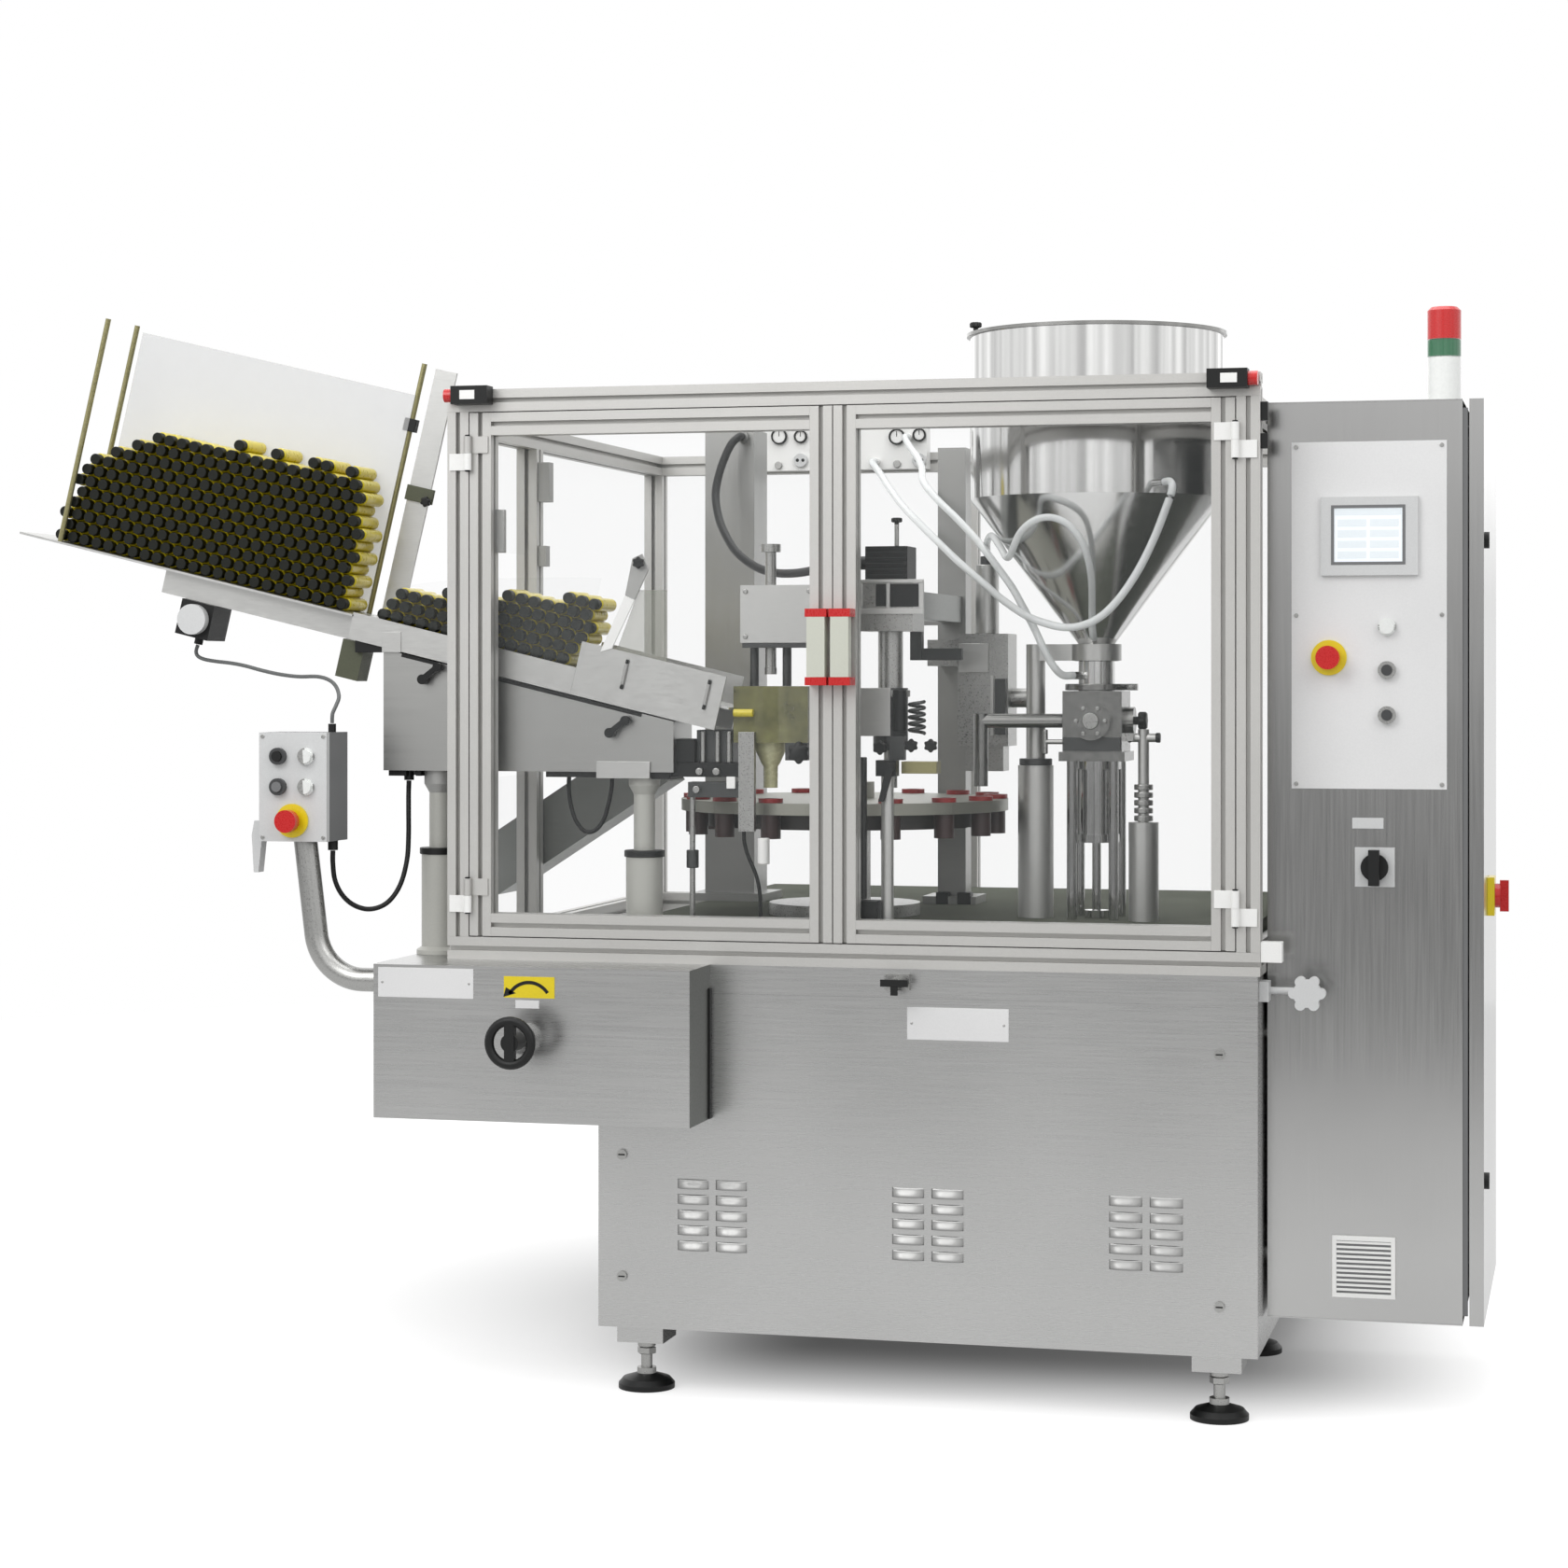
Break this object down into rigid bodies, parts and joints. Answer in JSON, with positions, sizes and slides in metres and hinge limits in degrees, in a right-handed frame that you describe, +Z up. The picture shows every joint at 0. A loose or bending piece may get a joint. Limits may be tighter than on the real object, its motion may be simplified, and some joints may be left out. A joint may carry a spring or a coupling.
{
  "type": "tube filling machine",
  "caption": "Floor-standing rotary filling machine that feeds tubes from a sloping magazine into a guarded turret, doses product from a conical hopper and is run from a side cabinet",
  "frame": {"origin": "on the floor, under the middle of the object's bounding box", "axes": "+X runs along the front from the magazine to the control cabinet, +Y runs from the front doors into the machine, +Z is up"},
  "size_m": [2.7066, 1.48, 1.9242],
  "materials": {
    "stainless": "brushed stainless sheet",
    "polished": "polished stainless",
    "machined_steel": "machined steel",
    "profile_aluminium": "anodised slotted profile",
    "clear_sheet": "clear polycarbonate",
    "white_plastic": "moulded white",
    "grey_plastic": "moulded grey",
    "black_plastic": "moulded black",
    "red_plastic": "moulded red",
    "white_paint": "powder coat",
    "dark_paint": "dark machine paint",
    "grey_iron": "painted casting",
    "tube_plastic": "printed tubes with dark caps",
    "black_cable": "cable sheath",
    "grey_cable": "cable sheath",
    "clear_hose": "soft clear hose"
  },
  "bodies": {
    "frame": {"base_frame": "stainless", "base_panels": "stainless", "panel_locks": "machined_steel", "levelling_feet": "black_plastic", "table_top": "stainless", "guard_profiles": "profile_aluminium", "clear_panes": "clear_sheet", "door_hinges": "white_paint", "interlock_switches": "black_plastic", "handwheel_box": "stainless", "pendant_arm": "stainless", "pendant_box": "grey_plastic", "control_fittings": "grey_plastic", "cabinet_body": "stainless", "electrical_plate": "white_paint", "control_panel": "white_paint", "hmi": "grey_plastic", "stack_light": "white_plastic", "turret_pedestal": "machined_steel", "index_drive": "grey_iron", "drive_chain": "machined_steel", "station_columns": "stainless", "insertion_head": "stainless", "station_heads": "machined_steel", "hopper": "polished", "dosing_valve": "polished", "dosing_cylinder": "polished", "filler_columns": "stainless", "magazine_tray": "stainless", "tube_load": "tube_plastic", "chute_body": "stainless", "chute_legs": "white_paint", "discharge_chute": "stainless", "air_supply": "white_plastic", "pendant_cable": "black_cable", "motor_cable": "grey_cable", "head_hose": "black_cable", "hopper_hose": "clear_hose", "valve_hose": "clear_hose"},
    "left_door": {"left_door_frame": "profile_aluminium", "left_door_pane": "clear_sheet"},
    "right_door": {"right_door_frame": "profile_aluminium", "right_door_pane": "clear_sheet"},
    "handwheel": {"handwheel": "black_plastic"},
    "camshaft": {"camshaft": "machined_steel"},
    "turret": {"turret_disc": "machined_steel", "tube_holders": "red_plastic"},
    "cabinet_door": {"cabinet_door": "stainless"},
    "isolator": {"isolator_knob": "red_plastic"},
    "mode_switch": {"mode_switch_knob": "black_plastic"},
    "pendant_start": {"pendant_start_button": "black_plastic"},
    "pendant_stop": {"pendant_stop_button": "black_plastic"},
    "pendant_estop": {"pendant_estop": "red_plastic"},
    "panel_estop": {"panel_estop": "red_plastic"},
    "panel_start": {"panel_start_button": "black_plastic"},
    "panel_reset": {"panel_reset_button": "black_plastic"},
    "lever_left": {"chute_lever_left": "black_plastic"},
    "lever_right": {"chute_lever_right": "black_plastic"},
    "pusher": {"insertion_pusher": "machined_steel"},
    "piston": {"dosing_piston": "machined_steel"}
  },
  "joints": [
    {"name": "left_door_swing", "type": "hinge", "parent": "frame", "child": "left_door", "pos_m": [-0.44571, -0.533, 1.264], "axis": [0, 0, 1], "range_deg": [-110, 0]},
    {"name": "right_door_swing", "type": "hinge", "parent": "frame", "child": "right_door", "pos_m": [0.91429, -0.533, 1.264], "axis": [0, 0, 1], "range_deg": [0, 110]},
    {"name": "turret_turn", "type": "hinge", "parent": "frame", "child": "turret", "pos_m": [0.14529, -0.115, 1.024], "axis": [0, 0, 1], "continuous": true},
    {"name": "handwheel_turn", "type": "hinge", "parent": "frame", "child": "handwheel", "pos_m": [-0.29771, -0.656, 0.634], "axis": [0, 1, 0], "continuous": true},
    {"name": "camshaft_turn", "type": "hinge", "parent": "frame", "child": "camshaft", "pos_m": [0.14529, -0.025, 0.56], "axis": [0, 1, 0], "continuous": true},
    {"name": "cabinet_door_swing", "type": "hinge", "parent": "frame", "child": "cabinet_door", "pos_m": [1.30529, 0.183, 0.948], "axis": [0, 0, 1], "range_deg": [0, 110]},
    {"name": "isolator_turn", "type": "hinge", "parent": "cabinet_door", "child": "isolator", "pos_m": [1.33029, -0.225, 0.88], "axis": [1, 0, 0], "range_deg": [0, 90]},
    {"name": "mode_switch_turn", "type": "hinge", "parent": "frame", "child": "mode_switch", "pos_m": [1.13829, -0.435, 0.938], "axis": [0, -1, 0], "range_deg": [0, 90]},
    {"name": "pendant_start_press", "type": "slide", "parent": "frame", "child": "pendant_start", "axis": [0, 1, 0], "range_m": [0, 0.004], "stiffness_N_per_m": 700},
    {"name": "pendant_stop_press", "type": "slide", "parent": "frame", "child": "pendant_stop", "axis": [0, 1, 0], "range_m": [0, 0.004], "stiffness_N_per_m": 700},
    {"name": "pendant_estop_press", "type": "slide", "parent": "frame", "child": "pendant_estop", "axis": [0, 1, 0], "range_m": [0, 0.006], "stiffness_N_per_m": 2500},
    {"name": "panel_estop_press", "type": "slide", "parent": "frame", "child": "panel_estop", "axis": [0, 1, 0], "range_m": [0, 0.006], "stiffness_N_per_m": 2500},
    {"name": "panel_start_press", "type": "slide", "parent": "frame", "child": "panel_start", "axis": [0, 1, 0], "range_m": [0, 0.004], "stiffness_N_per_m": 700},
    {"name": "panel_reset_press", "type": "slide", "parent": "frame", "child": "panel_reset", "axis": [0, 1, 0], "range_m": [0, 0.004], "stiffness_N_per_m": 700},
    {"name": "lever_left_turn", "type": "hinge", "parent": "frame", "child": "lever_left", "pos_m": [-0.55245, -0.465, 1.255], "axis": [0, -1, 0], "range_deg": [-60, 60]},
    {"name": "lever_right_turn", "type": "hinge", "parent": "frame", "child": "lever_right", "pos_m": [-0.19945, -0.465, 1.16], "axis": [0, -1, 0], "range_deg": [-60, 60]},
    {"name": "pusher_slide", "type": "slide", "parent": "frame", "child": "pusher", "axis": [0, 0, 1], "range_m": [-0.055, 0]},
    {"name": "piston_slide", "type": "slide", "parent": "frame", "child": "piston", "axis": [0, 0, 1], "range_m": [0, 0.09]}
  ],
  "couplings": [
    {"joint": "camshaft_turn", "follows": "turret_turn", "ratio": 16},
    {"joint": "handwheel_turn", "follows": "turret_turn", "ratio": 16}
  ]
}
